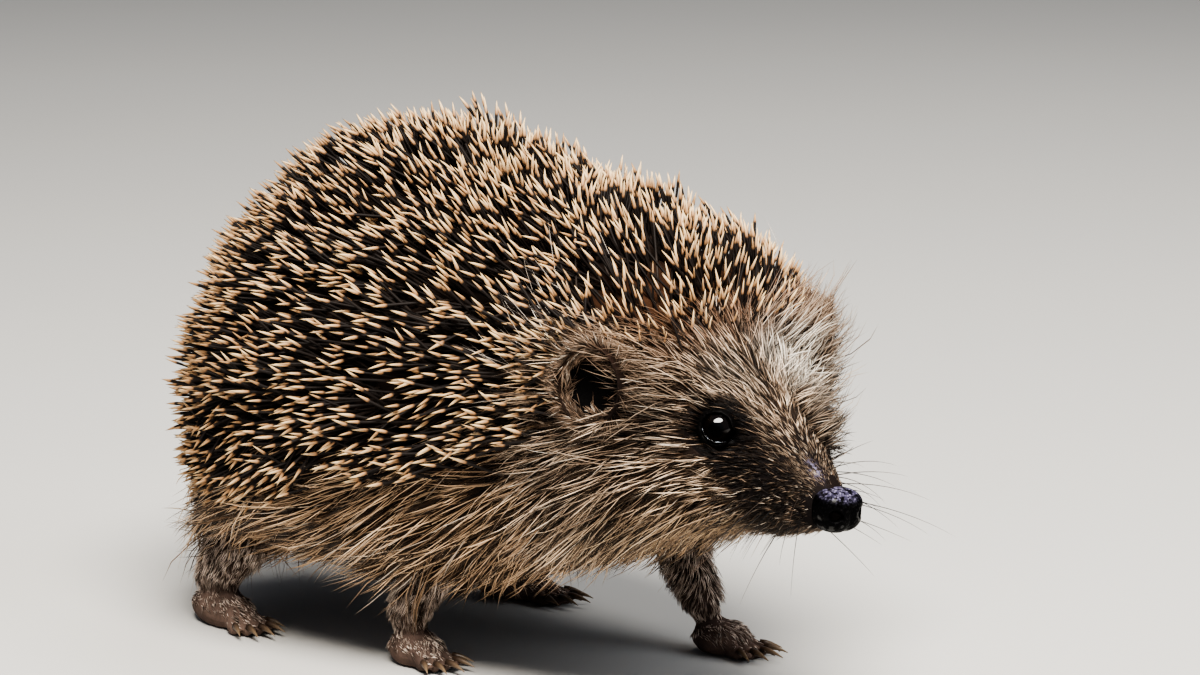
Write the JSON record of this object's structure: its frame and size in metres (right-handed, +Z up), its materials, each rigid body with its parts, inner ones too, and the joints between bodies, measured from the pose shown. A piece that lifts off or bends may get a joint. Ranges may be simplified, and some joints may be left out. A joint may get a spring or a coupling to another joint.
{
  "type": "young hedgehog model",
  "caption": "Still life-size model of a young European hedgehog, standing in mid-stride with its head turned a little to its right.",
  "frame": {"origin": "on the floor, under the middle of the outline", "axes": "+X towards the nose, +Y to the animal's left, +Z up"},
  "size_m": [0.1922, 0.1034, 0.1181],
  "materials": {
    "spines": "cream-tipped, dark-banded spines",
    "fur": "coarse pale fur over dark skin",
    "pinna": "thin dark skin with fine hair",
    "leg_fur": "short thin fur",
    "pad": "bare wrinkled skin, horn claws",
    "nose": "wet, pebbled",
    "eye": "gloss, nearly black"
  },
  "bodies": {
    "root": {"head": "fur", "neck": "spines", "trunk": "spines", "tail": "leg_fur", "nose": "nose", "eye_left": "eye", "eye_right": "eye", "ear_left": "pinna", "ear_right": "pinna", "leg_fore_left": "leg_fur", "leg_fore_right": "leg_fur", "leg_hind_left": "leg_fur", "leg_hind_right": "leg_fur", "paw_fore_left": "pad", "paw_fore_right": "pad", "paw_hind_left": "pad", "paw_hind_right": "pad"}
  },
  "joints": []
}
